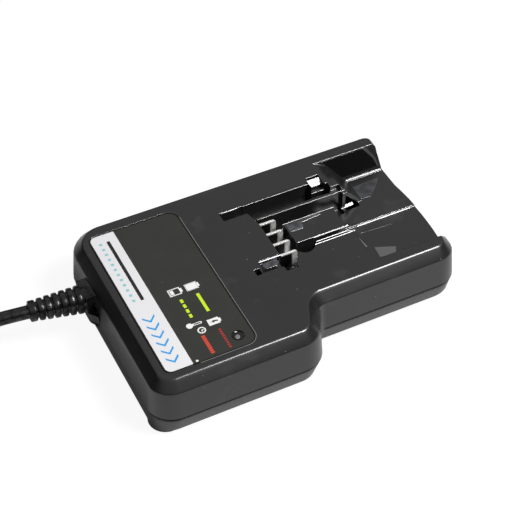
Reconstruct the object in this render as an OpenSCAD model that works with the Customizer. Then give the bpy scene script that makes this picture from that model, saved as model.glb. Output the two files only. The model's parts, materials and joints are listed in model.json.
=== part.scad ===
// Slide-in battery charger for a cordless tool: two-part housing with an open
// battery bay, contact blades, power supply and a mains lead with its plug.

/* [Housing] */
// overall length of the housing, cord end to battery end
body_l = 146.8; // [142:0.2:156]
// overall width of the wide part
body_w = 100; // [98:0.5:106]
// height of the closed housing without its feet
body_h = 28.6; // [28:0.1:32]
// height of the line where the two housings meet
parting_z = 10.3; // [9:0.1:11]
// height of the crease where the bevel begins
crease_z = 23.9; // [22:0.1:25]
// how far the side walls lean in up to the crease
wall_lean = 1.25; // [0.5:0.05:2]
// how far the bevel leans in above the crease
bevel_w = 4.1; // [3:0.1:5]
// how far the lower housing leans in towards its bottom
base_lean = 3.2; // [1.5:0.1:4]
// wall thickness of both housings
wall_t = 2.2; // [1.6:0.1:2.4]
// corner radius at the cord end, near side
cord_near_r = 11; // [8:0.5:14]
// corner radius at the cord end, far side
cord_far_r = 15; // [10:0.5:18]
// corner radius at the battery end, near side
end_near_r = 10; // [8:0.5:12]
// corner radius at the battery end, far side
end_far_r = 7; // [6.5:0.5:12]
// how far the battery end bows out
end_bow = 1.5; // [1:0.1:2]
// how far the near side steps in
step_w = 16.6; // [15:0.1:18]
// where along the length the step begins
step_x = 64.2; // [60:0.2:68]
// outer radius of the step
step_out_r = 11.4; // [9:0.2:13]
// inner radius of the step
step_in_r = 4; // [3:0.2:6]

/* [Battery bay] */
// where the open deck begins
bay_x = 109; // [107:0.2:112]
// width of the near arm, at its top
near_arm_w = 10.25; // [9.5:0.05:11]
// width of the far arm, at its top
far_arm_w = 10.65; // [10:0.05:11.5]
// how far each arm's inner face leans
bay_lean = 5.8; // [3:0.1:7]
// height of the deck
deck_z = 17; // [16:0.1:18.5]
// how much higher the far half of the deck is
deck_step = 0.8; // [0.3:0.1:1.5]
// length of the ramp beside the far channel
ramp_l = 10; // [7:0.5:12]
// distance between neighbouring contact blades
contact_pitch = 6.6; // [6.2:0.1:6.8]
// thickness of a contact blade
blade_t = 0.9; // [0.6:0.1:1.2]
// how far a contact blade stands out of the cavity wall
blade_l = 8.5; // [7:0.1:9]
// depth of the slots below the top
slot_depth = 10.6; // [9.5:0.1:11]
// depth of the long dark channel below the top
channel_depth = 12.6; // [11:0.1:13]
// how far the tongue and the blades lie below the top
tongue_drop = 2.6; // [2:0.1:3.2]
// thickness of the rail beside the channel
rail_t = 1.4; // [1:0.1:1.8]

/* [Label panel] */
// length of the inlaid label panel
panel_l = 39; // [36:0.5:41]
// how far the label panel stays from the near side
panel_near = 8.7; // [8.2:0.1:11]
// how far the label panel stays from the far side
panel_far = 10.6; // [9:0.1:13]
// thickness of the label panel
panel_t = 0.5; // [0.3:0.1:0.8]
// width of the white strip along the panel
strip_w = 10.8; // [8:0.2:12]
// diameter of the indicator window
window_d = 5; // [4:0.1:6]

/* [Feet and screws] */
// height of the feet below the housing
foot_h = 1.5; // [1:0.1:2.5]
// diameter of a rubber foot
foot_d = 11; // [9:0.5:12]
// diameter of the moulded seat of a foot
seat_d = 14.6; // [14:0.2:16]
// shank diameter of the housing screws
screw_d = 3; // [2.6:0.1:3.2]
// head diameter of the housing screws
screw_head_d = 5.6; // [5:0.1:6]
// length of the housing screws under the head
screw_l = 12; // [10:0.5:14]

/* [Power supply] */
// thickness of the circuit board
board_t = 1.6; // [1.2:0.1:2]
// height of the board's underside
board_z = 6; // [5.6:0.1:6.6]
// length of the transformer core
core_l = 26; // [22:0.5:27]
// height of the transformer core
core_h = 16; // [13:0.5:16.5]
// diameter of the input capacitor
bulk_d = 12.5; // [10:0.5:13]
// diameter of the output capacitors
output_d = 8; // [6.3:0.1:10]

/* [Mains lead] */
// diameter of the mains lead
cord_d = 5.7; // [5:0.1:6.4]
// number of rings on the bend protection
boot_rings = 7; // [5:1:8]
// distance between the rings of the bend protection
boot_pitch = 3.12; // [3:0.02:3.3]
// diameter of the first ring of the bend protection
boot_d = 11.8; // [11.4:0.1:12]
// mean diameter of the coiled lead
coil_d = 68; // [62:1:70]
// thickness of the tie around the coil
tie_t = 0.6; // [0.4:0.1:1]
// diameter of a plug pin
pin_d = 4; // [3.9:0.1:4.8]
// distance between the plug pins
pin_pitch = 19; // [17:0.5:19]

/* [Hidden] */

eps = 0.01;
fit = 0.1;                        // clearance of a loose fit
arc_n = 8;                        // facets in each corner of the housing outline
end_run = 0.1;                    // how far a lofted skin runs past its flat ends

corner_l = body_l - end_bow;      // length up to the flat ends of both arms
bow_half = 20.5;                  // half the width of the bow between them
bow_y = step_w + 34.9;
bow_r = (bow_half * bow_half + end_bow * end_bow) / (2 * end_bow);
bow_a = asin(bow_half / bow_r);
step_a = 64.5;                    // steepness of the step in the near side
step_s = (step_w - (step_out_r + step_in_r) * (1 - cos(step_a))) / sin(step_a);
step_end = step_x + (step_out_r + step_in_r) * sin(step_a) + step_s * cos(step_a);

top_t = 2.4;                      // thickness of the top wall
floor_t = 2.2;                    // thickness of the bottom wall
ceiling_z = body_h - top_t;
rim_in = wall_lean + bevel_w;     // how far the rim lies inside the parting line
far_end_out = 2.9;                // how much less the far arm's end is bevelled
cord_end_out = 2;                 // how much less the lower housing leans at the cord end
both_end_out = 1.8;               // and at the battery end
lip_h = 1.8;                      // height of the lower housing's inner lip
lip_t = 1.1;

bay_near = step_w + near_arm_w;
bay_far = body_w - far_arm_w;
bay_y = (bay_near + bay_far) / 2; // centre line of the bay
deck_mid = bay_y - 0.9;           // step line of the deck
contact_y = bay_y + 0.1;          // middle of the four blades
tongue_near = contact_y - contact_pitch;
tongue_far = contact_y + 6;
rail_near = tongue_far + 6.5;
rail_far = rail_near + rail_t;
cavity_x = 76;                    // wall that the blades come out of
tongue_x = 86;
tongue_end = bay_x + 1;
slot_far = contact_y + 20.6;      // far wall of the far slot
slot_z = body_h - slot_depth;
channel_z = body_h - channel_depth;
tongue_z = body_h - tongue_drop;
groove_near = contact_y - 10.9;
pocket_near = contact_y - 19.3;
ramp_x = bay_x + 8;
ramp_near = rail_near - 1.8;      // near side of the ramp, and how far it narrows towards its foot
ramp_narrow = 0.8;
channel_end = ramp_x - 0.2;
nose_y = tongue_far + 1.6;        // near side of the channel's end beyond the tongue
start_cut = [4.2, 8.4];           // corner cut off where the far arm's face begins

panel_x = 8.4;
panel_w = body_w - panel_near - panel_far;
window_x = 41.3;
window_y = 14.6;
panel_floor = body_h - panel_t - 0.1;
panel_top = body_h - 0.1;

screw_xy = [[8.8, 31], [8.8, body_w - 15], [body_l - 33.8, 37], [body_l - 33.8, body_w - 16]];
screw_z = 5.5;                    // where the screw heads seat
drive = [3.4, 0.8, 2];            // one arm of the cross in a screw head
boss_z = parting_z;               // where the bosses of the two housings meet
boss_r = 3.9;
foot_xy = [[8, 11.5], [8.6, body_w - 13.5], [body_l - 15.8, step_w + 16.9], [body_l - 15.8, body_w - 14]];

board_x = 15;
board_y = 10;
board_l = 58;
board_w = body_w - 24;
board_top = board_z + board_t;
post_in = 4.5;                    // how far the posts stand in from the ends of the board
post_xy = [for (x = [board_x + 6, board_x + board_l - 4]) for (y = [board_y + post_in,
    board_y + board_w - post_in]) [x, y]];
post_d = 6.4;
board_screw_d = 2.5;
block_x = 62.5;                   // terminal block behind the cavity wall
block_l = 9.2;
block_z = 24.1;

cord_y = body_w - 31.3;           // where the lead enters the housing
cord_z = 19.1;
cord_turn = 7.5;                  // how far the bend protection points to the far side
collar_x = -3;
tab_out = 2.6;                    // how far the tab below the collar stands out
tab_w = 11;
tab_root = 6.7;                   // half its width where it passes through the wall
tab_flare = 4.5;                  // length of its flared sides
tab_h = 4.2;
collar_w = 11;
collar_h = 8.8;
boot_step = 0.5;                  // each ring is this much smaller
boot_start = 1.4;                 // where the first ring begins
ring_w = 2.4;
ring_more = 0.6;                  // how much wider the last ring is
ring_round = 0.6;
ring_deep = 1;                    // depth of the grooves between the rings
boot_l = boot_start + boot_pitch * (boot_rings - 1) + ring_w + ring_more;
boot_tip = boot_l + 0.3;

coil_w = 3 * cord_d + 0.3;        // the bundle is three turns wide, in three nested rows
coil_h = (1 + 2 * sin(60)) * cord_d + 0.3;
coil_low = tie_t - foot_h;        // underside of the bundle, which lies on its tie
coil_out = coil_d / 2 + cord_d;   // radius of its outermost turns
cord_low = coil_low + cord_d / 2 + 0.1;
lie_y = cord_y + 6.1;             // line along which the lead reaches the coil
coil_xy = [-101, lie_y - coil_out];

// outline of the housing at an inset d, starting at the near corner of the cord end.
// o moves its ends out: the cord end, the near arm's end and the far arm's end
function arc(cx, cy, r, a0, a1, n = arc_n) =
    [for (i = [0:n]) let (a = a0 + (a1 - a0) * i / n) [cx + r * cos(a), cy + r * sin(a)]];
function clamp(t) = min(1, max(0, t));
function outline(d, o = [0, 0, 0]) = [for (p = inset_line(d))
    let (c = max(cord_near_r, cord_far_r), e = corner_l - max(end_near_r, end_far_r),
        far = clamp((p[1] - bay_near) / (bay_far - bay_near)))
    [p[0] - o[0] * clamp((c - p[0]) / (c - d))
        + (o[1] + (o[2] - o[1]) * far) * clamp((p[0] - e) / (corner_l - d - e)), p[1]]];
function inset_line(d) = concat(
    arc(cord_near_r, cord_near_r, cord_near_r - d, 180, 270),
    arc(step_x, step_out_r, step_out_r - d, 270, 270 + step_a),
    arc(step_end, step_w - step_in_r, step_in_r + d, 90 + step_a, 90),
    arc(corner_l - end_near_r, step_w + end_near_r, end_near_r - d, 270, 360),
    arc(body_l - bow_r, bow_y, bow_r - d, -bow_a, bow_a),
    arc(corner_l - end_far_r, body_w - end_far_r, end_far_r - d, 0, 90),
    arc(cord_far_r, body_w - cord_far_r, cord_far_r - d, 90, 180)
);
// outline of a rectangle with its four own corner radii
function panel_shape(x0, y0, x1, y1, r0, r1) = concat(
    arc(x0 + r0, y0 + r0, r0, 180, 270), arc(x1 - r1, y0 + r1, r1, 270, 360),
    arc(x1 - r1, y1 - r1, r1, 0, 90), arc(x0 + r0, y1 - r0, r0, 90, 180)
);

// smooth route through hand-chosen points
function route_at(p, i, t) =
    let (a = p[max(i - 1, 0)], b = p[i], c = p[i + 1], d = p[min(i + 2, len(p) - 1)])
    0.5 * (2 * b + (c - a) * t + (2 * a - 5 * b + 4 * c - d) * t * t
        + (3 * b - a - 3 * c + d) * t * t * t);
function route(p, n) = concat(
    [for (i = [0:len(p) - 2]) for (k = [0:n - 1]) route_at(p, i, k / n)], [p[len(p) - 1]]
);
function unit(v) = v / norm(v);
function heading(p, i) = unit(p[min(i + 1, len(p) - 1)] - p[max(i - 1, 0)]);

// solid through stacked outlines of the housing; each ring is [height, inset], and may go on
// with how far its three ends are moved out.
// the skin runs a little past both flat ends, and a slab cuts it there
function past(a, b) = a + (a - b) * end_run / abs(a[0] - b[0]);
module loft(rings) {
    k1 = len(rings) - 1;
    stack = [for (k = [0:k1]) k == 0 ? past(rings[0], rings[1])
        : k == k1 ? past(rings[k1], rings[k1 - 1]) : rings[k]];
    n = len(outline(0));
    pts = [for (r = stack) for (p = outline(r[1], len(r) > 2 ? [r[2], r[3], r[4]] : [0, 0, 0]))
        [p[0], p[1], r[0]]];
    sides = [for (k = [0:k1 - 1]) for (i = [0:n - 1])
        [k * n + i, k * n + n + i, k * n + n + (i + 1) % n, k * n + (i + 1) % n]];
    intersection() {
        polyhedron(pts, concat([[for (i = [0:n - 1]) i]], sides,
            [[for (i = [n - 1:-1:0]) k1 * n + i]]), convexity = 10);
        translate([-body_w, -body_w, rings[0][0]])
            cube([3 * body_l, 3 * body_w, rings[k1][0] - rings[0][0]]);
    }
}

// round lead along a route
module tube(p, d, sides) {
    pts = [for (i = [0:len(p) - 1])
        let (h = heading(p, i), s = unit(cross(h, [0.02, 0.03, 1])), u = cross(s, h))
        for (k = [0:sides - 1]) p[i] + d / 2 * (s * cos(360 * k / sides) + u * sin(360 * k / sides))];
    skin = [for (i = [0:len(p) - 2]) for (k = [0:sides - 1])
        let (a = i * sides, j = (k + 1) % sides) each [
            [a + k, a + j, a + sides + j], [a + k, a + sides + j, a + sides + k]]];
    last = (len(p) - 1) * sides;
    polyhedron(pts, concat([[for (k = [sides - 1:-1:0]) k]], skin,
        [[for (k = [0:sides - 1]) last + k]]), convexity = 10);
}

// from housing coordinates to the part's own origin: centre of the base, +Z up
module place() {
    translate([(tab_out - body_l) / 2, -body_w / 2, foot_h]) children();
}

module at(points) {
    for (p = points) translate([p[0], p[1], 0]) children();
}

// a slot cut down from the top, or the pocket of wall around it when g is above zero
module slot(bottom, g) {
    translate([0, 0, bottom - g]) linear_extrude(body_h + 1 - bottom + g) offset(delta = g) children();
}

module block(x0, y0, x1, y1) {
    polygon([[x0, y0], [x1, y0], [x1, y1], [x0, y1]]);
}

// the open deck between the two arms, with the ramp left standing
module bay_space(g) {
    near_foot = bay_near + bay_lean - g;
    far_foot = bay_far - bay_lean + g;
    deck_far = deck_z + deck_step;
    difference() {
        translate([bay_x - g, 0, 0]) rotate([90, 0, 90]) linear_extrude(body_l)
            polygon([[near_foot, deck_z - g], [deck_mid, deck_z - g], [deck_mid, deck_far - g],
                [far_foot, deck_far - g], [bay_far + g, body_h], [bay_far + g, body_h + 2],
                [bay_near - g, body_h + 2], [bay_near - g, body_h]]);
        intersection() {
            translate([0, body_w, 0]) rotate([90, 0, 0]) linear_extrude(body_w)
                polygon([[bay_x - 9, 0], [ramp_x + ramp_l - g, 0], [ramp_x + ramp_l - g, deck_far],
                    [ramp_x - g - 3 * ramp_l / (body_h - deck_far), body_h + 3], [bay_x - 9, body_h + 3]]);
            linear_extrude(body_h + 3) polygon([[bay_x - 9, ramp_near - g], [ramp_x, ramp_near - g],
                [ramp_x + ramp_l, ramp_near + ramp_narrow - g], [ramp_x + ramp_l, body_w],
                [bay_x - 9, body_w]]);
        }
    }
}

// corner cut off the plateau where the far arm's inner face begins
module arm_start() {
    fall = body_h - deck_z - deck_step;
    low = 2.6;
    translate([ramp_x, bay_far, body_h]) polyhedron([[0, -start_cut[1], 0], [-start_cut[0], 0, 0],
        [low * ramp_l / fall, -low * bay_lean / fall, -low], [eps, 0, 0], [0, 0, 2]],
        [[0, 1, 2], [0, 4, 1], [0, 2, 3], [0, 3, 4], [1, 3, 2], [1, 4, 3]]);
}

// all slots of the terminal field, cut from the top
module terminal_slots(g) {
    // cavity that the blades stand in, open to the far slot around the rail's end
    slot(slot_z, g) polygon([[cavity_x - 0.6, groove_near - 0.6], [tongue_x, groove_near - 0.6],
        [tongue_x, rail_near - 0.5], [cavity_x + 1, rail_near - 0.5], [cavity_x + 1, slot_far],
        [cavity_x - 2.7, slot_far], [cavity_x - 2, rail_near + 3.8], [cavity_x - 0.8, rail_near - 1],
        [cavity_x - 0.2, tongue_far + 2]]);
    slot(slot_z, g) block(cavity_x, rail_far, bay_x - 3.5, slot_far);
    slot(slot_z, g) block(bay_x - 4, rail_far, bay_x + 4, slot_far - 2.6);
    // notch beyond the far slot with a shallow floor
    slot(body_h - 3.6, g) block(bay_x - 3.3, slot_far - 3, bay_x + 2.8, slot_far + 3.6);
    // narrow notch at the cord side of the far slot
    slot(slot_z, g) block(cavity_x - 12.6, slot_far - 4.6, cavity_x - 2, slot_far + 0.2);
    // channel between tongue and rail, narrower at its end
    slot(channel_z, g) polygon([[cavity_x + 0.5, tongue_far], [tongue_end - 1, tongue_far],
        [tongue_end + 2, nose_y], [channel_end, nose_y], [channel_end, rail_near],
        [cavity_x + 0.5, rail_near]]);
    // tops of the tongue and of the rail lie lower than the plateau
    slot(tongue_z, g) block(cavity_x, tongue_near - 2, tongue_end + 0.2, tongue_far + 1);
    slot(tongue_z + 0.4, g) block(cavity_x, rail_near - 1, channel_end, rail_far + 1);
    slot(tongue_z + 0.4, g) block(tongue_end, tongue_far - 1, ramp_x + 2, rail_near + 0.1);
    // groove on the near side of the tongue, open to the deck
    slot(slot_z, g) block(tongue_x - 1, groove_near, tongue_end + 0.2, tongue_near);
    // round widening between the groove and the pocket
    slot(slot_z - 1.5, g) translate([tongue_x + 1, contact_y - 11.2]) circle(r = 4.4, $fn = 24);
    // pocket beside the near blade
    slot(slot_z, g) polygon([[cavity_x - 2, pocket_near], [cavity_x + 3.6, pocket_near],
        [cavity_x + 8, contact_y - 11.4], [cavity_x - 2, contact_y - 11.4]]);
    // shallow recess next to it, with a deeper hole at its end
    slot(body_h - 2.2, g) polygon([[cavity_x - 11.6, contact_y - 18], [cavity_x - 1, contact_y - 18.4],
        [cavity_x - 1, contact_y - 11.6], [cavity_x - 9.6, contact_y - 11.4]]);
    slot(body_h - 8, g) block(cavity_x - 14, contact_y - 18.4, cavity_x - 11.6, contact_y - 15);
}

// lead-in chamfers along the near groove and the near pocket
module lead_ins() {
    translate([tongue_x + 4.7, 0, 0]) rotate([90, 0, 90]) linear_extrude(tongue_end - tongue_x - 5)
        polygon([[groove_near - 2, body_h], [groove_near, body_h - 2], [groove_near + 1, body_h - 2],
            [groove_near + 1, body_h + 1], [groove_near - 2, body_h + 1]]);
    translate([cavity_x - 2, 0, 0]) rotate([90, 0, 90]) linear_extrude(5.4)
        polygon([[pocket_near - 2, body_h], [pocket_near, body_h - 2], [pocket_near + 1, body_h - 2],
            [pocket_near + 1, body_h + 1], [pocket_near - 2, body_h + 1]]);
}

// block-shaped seat of the collar in the end wall, c wider all round
module collar_shape(x0, x1, c) {
    translate([x0, cord_y - collar_w / 2 - c, cord_z - collar_h / 2 - c])
        cube([x1 - x0, collar_w + 2 * c, collar_h + 2 * c]);
}

module upper_housing() {
    color([0.20, 0.20, 0.20]) place() difference() {
        union() {
            difference() {
                loft([[parting_z, 0.3, 0, 0, 0], [parting_z + 0.3, 0.03, 0, 0, 0],
                    [crease_z - 0.4, wall_lean - 0.05, 0, 0, 0],
                    [crease_z + 0.4, wall_lean + 0.4, 0, 0, 0.3],
                    [body_h - 1.2, rim_in - 0.96, 0, 0, far_end_out],
                    [body_h - 0.5, rim_in - 0.35, 0, 0, far_end_out],
                    [body_h - 0.12, rim_in + 0.1, 0, 0, far_end_out - 0.2],
                    [body_h, rim_in + 0.6, 0, 0, far_end_out - 0.2]]);
                difference() {
                    loft([[parting_z - 1, wall_t], [parting_z + 0.5, wall_t],
                        [crease_z, wall_lean + wall_t],
                        [ceiling_z, rim_in + wall_t / 2]]);
                    bay_space(wall_t);
                    terminal_slots(1.6);
                    at(screw_xy) translate([0, 0, boss_z]) cylinder(r = boss_r, h = body_h, $fn = 32);
                }
            }
        }
        bay_space(0);
        terminal_slots(0);
        lead_ins();
        arm_start();
        // slots for the blades in the cavity wall
        for (i = [0:3]) translate([cavity_x - 8, blade_y(i) - blade_t / 2 - fit, slot_z + 0.4])
            cube([8.5, blade_t + 2 * fit, blade_low_z - slot_z - 0.4 + fit]);
        // recess of the label panel and hole of the window
        translate([0, 0, panel_floor]) linear_extrude(body_h)
            polygon(panel_shape(panel_x - 0.3, panel_near - 0.3, panel_x + panel_l + 0.3,
                panel_near + panel_w + 0.3, 3.3, 4.8));
        translate([window_x, window_y, ceiling_z - 1]) cylinder(d = window_d + fit, h = 5, $fn = 32);
        // seat of the strain relief and the notch for the tab below it
        collar_shape(-5, 1.4, 0);
        collar_shape(-5, 12, -1);
        translate([-5, cord_y - tab_root - fit, 0])
            cube([12, 2 * (tab_root + fit), cord_z - collar_h / 2 + 1.2]);
        // pilot holes of the housing screws
        at(screw_xy) translate([0, 0, boss_z - 1]) cylinder(d = screw_d + eps, h = screw_l - 2, $fn = 24);
    }
}

// flared tab under the collar, which slopes back to the wall at the parting line
module collar_tab() {
    top = cord_z - collar_h / 2;
    side = [for (i = [0:8]) let (t = i / 8) [tab_out * (3 * t * t - 2 * t * t * t), tab_flare * t]];
    flat = tab_w / 2 + tab_flare;
    intersection() {
        translate([0, cord_y, 3]) linear_extrude(top - 3) polygon(concat(
            [for (p = side) [-p[0], p[1] - flat]],
            [for (i = [len(side) - 1:-1:0]) [-side[i][0], flat - side[i][1]]],
            [[0, tab_root], [5, tab_root], [5, -tab_root], [0, -tab_root]]));
        translate([0, cord_y + body_w / 2, 0]) rotate([90, 0, 0]) linear_extrude(body_w)
            polygon([[-tab_out - 1, top - tab_h], [-tab_out - 1, top + 1], [6, top + 1], [6, 2],
                [base_lean, 2], [0.4, parting_z - 1.6]]);
    }
}

module lower_housing() {
    color([0.23, 0.23, 0.23]) place() difference() {
        union() {
            difference() {
                union() {
                    loft([[0, base_lean + 1, cord_end_out, both_end_out, both_end_out],
                        [0.5, base_lean + 0.3, cord_end_out, both_end_out, both_end_out],
                        [1.5, base_lean - 0.35, cord_end_out, both_end_out, both_end_out],
                        [parting_z - 0.7, 0.35, 0, 0, 0], [parting_z, 0.3, 0, 0, 0],
                        [parting_z, wall_t + 0.2, 0, 0, 0], [parting_z + lip_h, wall_t + 0.3, 0, 0, 0]]);
                    collar_tab();
                }
                difference() {
                    union() {
                        loft([[floor_t, base_lean + wall_t], [parting_z + 4, wall_t + 0.2 + lip_t]]);
                        translate([5, cord_y - 4.4, floor_t]) cube([3, 8.8, 14]);
                    }
                    at(screw_xy) cylinder(r = boss_r, h = boss_z, $fn = 32);
                    at(post_xy) cylinder(d = post_d, h = board_z, $fn = 32);
                    at(foot_xy) cylinder(d = seat_d - 3, h = 3, $fn = 32);
                }
            }
            // moulded seats of the feet
            at(foot_xy) rotate_extrude($fn = 48) polygon([[0, 0.7 - foot_h], [seat_d / 2 - 0.6, 0.7 - foot_h],
                [seat_d / 2, 1.3 - foot_h], [seat_d / 2, 3], [seat_d / 2 - 2, 4.2], [0, 4.2]]);
        }
        // recesses of the rubber feet
        at(foot_xy) translate([0, 0, -foot_h - 1]) cylinder(d = foot_d, h = foot_h + 1.4, $fn = 48);
        // passage and seat of each housing screw
        at(screw_xy) translate([0, 0, -1]) cylinder(d = screw_d + 0.4, h = body_h, $fn = 32);
        at(screw_xy) translate([0, 0, -1]) cylinder(d = screw_head_d + 0.6, h = screw_z + 1, $fn = 32);
        // pilot holes of the board screws
        at(post_xy) translate([0, 0, floor_t]) cylinder(d = board_screw_d + eps, h = 8, $fn = 24);
        // vent slots in the bottom
        for (i = [0:5]) translate([78 + 5 * i, 44, -1]) linear_extrude(6)
            polygon(panel_shape(0, 0, 2, 28, 0.9, 0.9));
        // room for the seated strain relief
        collar_shape(-5, 12, 0);
    }
}

module label_panel() {
    color([0.21, 0.21, 0.19]) place() difference() {
        translate([0, 0, panel_floor]) linear_extrude(panel_t)
            polygon(panel_shape(panel_x, panel_near, panel_x + panel_l, panel_near + panel_w, 3, 4.5));
        translate([window_x, window_y, body_h - 2]) cylinder(d = window_d + fit, h = 5, $fn = 32);
    }
}

module label_strip() {
    color([0.90, 0.90, 0.91]) place() translate([0, 0, panel_top]) linear_extrude(0.15)
        polygon(panel_shape(panel_x + 0.55, panel_near + 0.3, panel_x + 0.55 + strip_w,
            panel_near + panel_w - 0.3, 2.6, 0.3));
}

module indicator_window() {
    color([0.35, 0.33, 0.34, 0.6]) place() translate([window_x, window_y, 0]) rotate_extrude($fn = 32)
        polygon([[0, 19], [window_d / 2 - 0.3, 19], [window_d / 2, 19.3], [window_d / 2, ceiling_z - 1.4],
            [window_d / 2 + 1, ceiling_z - 1.4], [window_d / 2 + 1, ceiling_z],
            [window_d / 2, ceiling_z], [window_d / 2, body_h + 0.1], [window_d / 4, body_h + 0.55],
            [0, body_h + 0.7]]);
}

module status_led() {
    color([0.75, 0.12, 0.10]) place() translate([window_x, window_y, 0]) {
        translate([0, 0, 13]) cylinder(d = 3, h = 4.4, $fn = 24);
        translate([0, 0, 17.4]) sphere(d = 3, $fn = 24);
        translate([0, 0, 12]) cylinder(d = 3.6, h = 1.1, $fn = 24);
        for (s = [-1, 1]) translate([s * 1.27 - 0.25, -0.25, board_top - eps])
            cube([0.5, 0.5, 12.2 - board_top]);
    }
}

function blade_y(i) = contact_y + (i - 1.5) * contact_pitch;
blade_low_z = 23.4;               // height of a blade behind the cavity wall

module contact_blade(i) {
    x1 = cavity_x + blade_l;
    zb = slot_z + 0.5;
    color([0.80, 0.78, 0.72]) place() translate([0, blade_y(i) + blade_t / 2, 0]) rotate([90, 0, 0])
        difference() {
            linear_extrude(blade_t) polygon(concat([[block_x + 2, board_z], [block_x + 4, board_z],
                [block_x + 4, zb], [x1, zb], [x1, tongue_z - 1.6]],
                arc(x1 - 1.6, tongue_z - 1.6, 1.6, 0, 90, 5),
                [[cavity_x + 0.7, tongue_z], [cavity_x + 0.7, blade_low_z], [block_x + 2, blade_low_z]]));
            for (s = [0, 1]) translate([x1, 0, s * blade_t]) rotate([-90, 0, 0]) translate([0, 0, slot_z])
                rotate([0, 0, 45]) cube([0.45, 0.45, 20], center = true);
        }
}
module contact_blade_1() { contact_blade(0); }
module contact_blade_2() { contact_blade(1); }
module contact_blade_3() { contact_blade(2); }
module contact_blade_4() { contact_blade(3); }

module terminal_block() {
    y0 = blade_y(0) - 2.4;
    color([0.12, 0.12, 0.13]) place() difference() {
        translate([block_x, y0, board_top])
            cube([block_l, 3 * contact_pitch + 4.8, block_z - board_top]);
        for (i = [0:3]) translate([block_x + 2, blade_y(i) - blade_t / 2, board_z])
            cube([block_l, blade_t, blade_low_z - board_z]);
        for (i = [0:2]) translate([block_x - 1, blade_y(i) + 1.8, board_top + 3])
            cube([4, contact_pitch - 3.6, 10]);
    }
}

module circuit_board() {
    color([0.05, 0.30, 0.14]) place() difference() {
        translate([board_x, board_y, board_z]) cube([board_l, board_w, board_t]);
        at(post_xy) translate([0, 0, board_z - 1]) cylinder(d = board_screw_d + 0.4, h = 4, $fn = 24);
        for (i = [0:3]) translate([block_x + 2, blade_y(i) - blade_t / 2, board_z - 1])
            cube([2, blade_t, 4]);
        // slot that keeps mains side and output side apart
        translate([board_x + 33, board_y + board_w - 30, board_z - 1]) cube([1.6, sink_l, 4]);
    }
}

// places of the parts on the board, from its near corner at the cord end
spare = board_w - 76;             // what a wider board leaves between them
core_at = [7, 24 + 0.4 * spare];
bulk_at = [23.5, 61 + 0.8 * spare];
choke_at = [10, 58 + 0.8 * spare];
output_at = [[40, 17], [40, 28]];
rectifier_at = [14, board_w - 6.5];
fuse_at = [3.5, 40 + 0.5 * spare];
sink_at = [37, 48 + spare];
diode_at = [17, 12.5];
chip_at = [29, 8];
relay_at = [3, 9];
sensor_at = [45, 26];
row_at = [[9, 2], [45, 17]];      // two rows of tiny parts

core_w = 22;
core_wall = 5;
bobbin_out = 2.4;                 // how far the winding stands out of the core
sink_l = 24;
sink_h = 7.8;
sink_t = 1.8;
fin_l = 6;
fin_t = 1;
fins = 6;
tiny = [1.8, 3.2, 1];             // a small part soldered flat on the board
tiny_pitch = 3.2;
sensor = [7.5, 3, 6];
relay = [4, 9, 7];
chip = [4, 10, 1.8];
chip_leg = [1.2, 0.45, 0.5];
transistor = [4.6, 10, 6.6];

module on_board(p) {
    translate([board_x + p[0], board_y + p[1], board_top]) children();
}

module transformer_core() {
    color([0.17, 0.17, 0.18]) place() on_board(core_at) translate([0, 0, 1.2]) difference() {
        cube([core_l, core_w, core_h - 1.2]);
        translate([core_wall, -1, core_wall / 2])
            cube([core_l - 2 * core_wall, core_w + 2, core_h - 1.2 - core_wall]);
    }
}

module transformer_bobbin() {
    color([0.85, 0.68, 0.20]) place() on_board(core_at) {
        translate([core_wall, -bobbin_out, 1.2 + core_wall / 2])
            cube([core_l - 2 * core_wall, core_w + 2 * bobbin_out, core_h - 1.2 - core_wall]);
        for (y = [-bobbin_out, core_w]) translate([core_wall, y, 0])
            cube([core_l - 2 * core_wall, bobbin_out, 1.2 + core_wall]);
    }
}

module can(d, h) {
    rotate_extrude($fn = 48) polygon([[0, 0], [d / 2 - 0.4, 0], [d / 2, 0.4], [d / 2, 1.6],
        [d / 2 - 0.4, 2], [d / 2, 2.4], [d / 2, h - 0.4], [d / 2 - 0.4, h], [0, h]]);
}

module input_capacitor() {
    color([0.10, 0.12, 0.30]) place() on_board(bulk_at) can(bulk_d, 17);
}

module output_capacitors() {
    color([0.10, 0.12, 0.30]) place() for (p = output_at) on_board(p) can(output_d, 13);
}

module filter_choke() {
    color([0.62, 0.30, 0.12]) place() on_board(choke_at) translate([0, 0, 7]) rotate([0, 90, 0])
        rotate_extrude($fn = 40) translate([4.8, 0]) circle(r = 2.2, $fn = 16);
}

module bridge_rectifier() {
    color([0.08, 0.08, 0.09]) place() on_board(rectifier_at) cube([8, 3.6, 9]);
}

module mains_fuse() {
    color([0.86, 0.84, 0.78]) place() on_board(fuse_at) translate([0, 0, 2.6]) rotate([-90, 0, 0]) {
        cylinder(d = 5.2, h = 5, $fn = 24);
        translate([0, 0, 5]) cylinder(d = 4.8, h = 10, $fn = 24);
        translate([0, 0, 15]) cylinder(d = 5.2, h = 5, $fn = 24);
    }
}

module heat_sink() {
    color([0.72, 0.73, 0.75]) place() on_board(sink_at) {
        cube([sink_t, sink_l, sink_h]);
        for (i = [0:fins - 1]) translate([sink_t - eps, i * (sink_l - fin_t) / (fins - 1), 0])
            cube([fin_l, fin_t, sink_h]);
    }
}

module power_transistor() {
    color([0.09, 0.09, 0.10]) place() on_board(sink_at) translate([-transistor[0], 5, 1]) {
        cube(transistor);
        for (i = [-1, 0, 1]) translate([2, transistor[1] / 2 + i * 2.54 - 0.4, -1]) cube([0.5, 0.8, 1.2]);
    }
}

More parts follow.
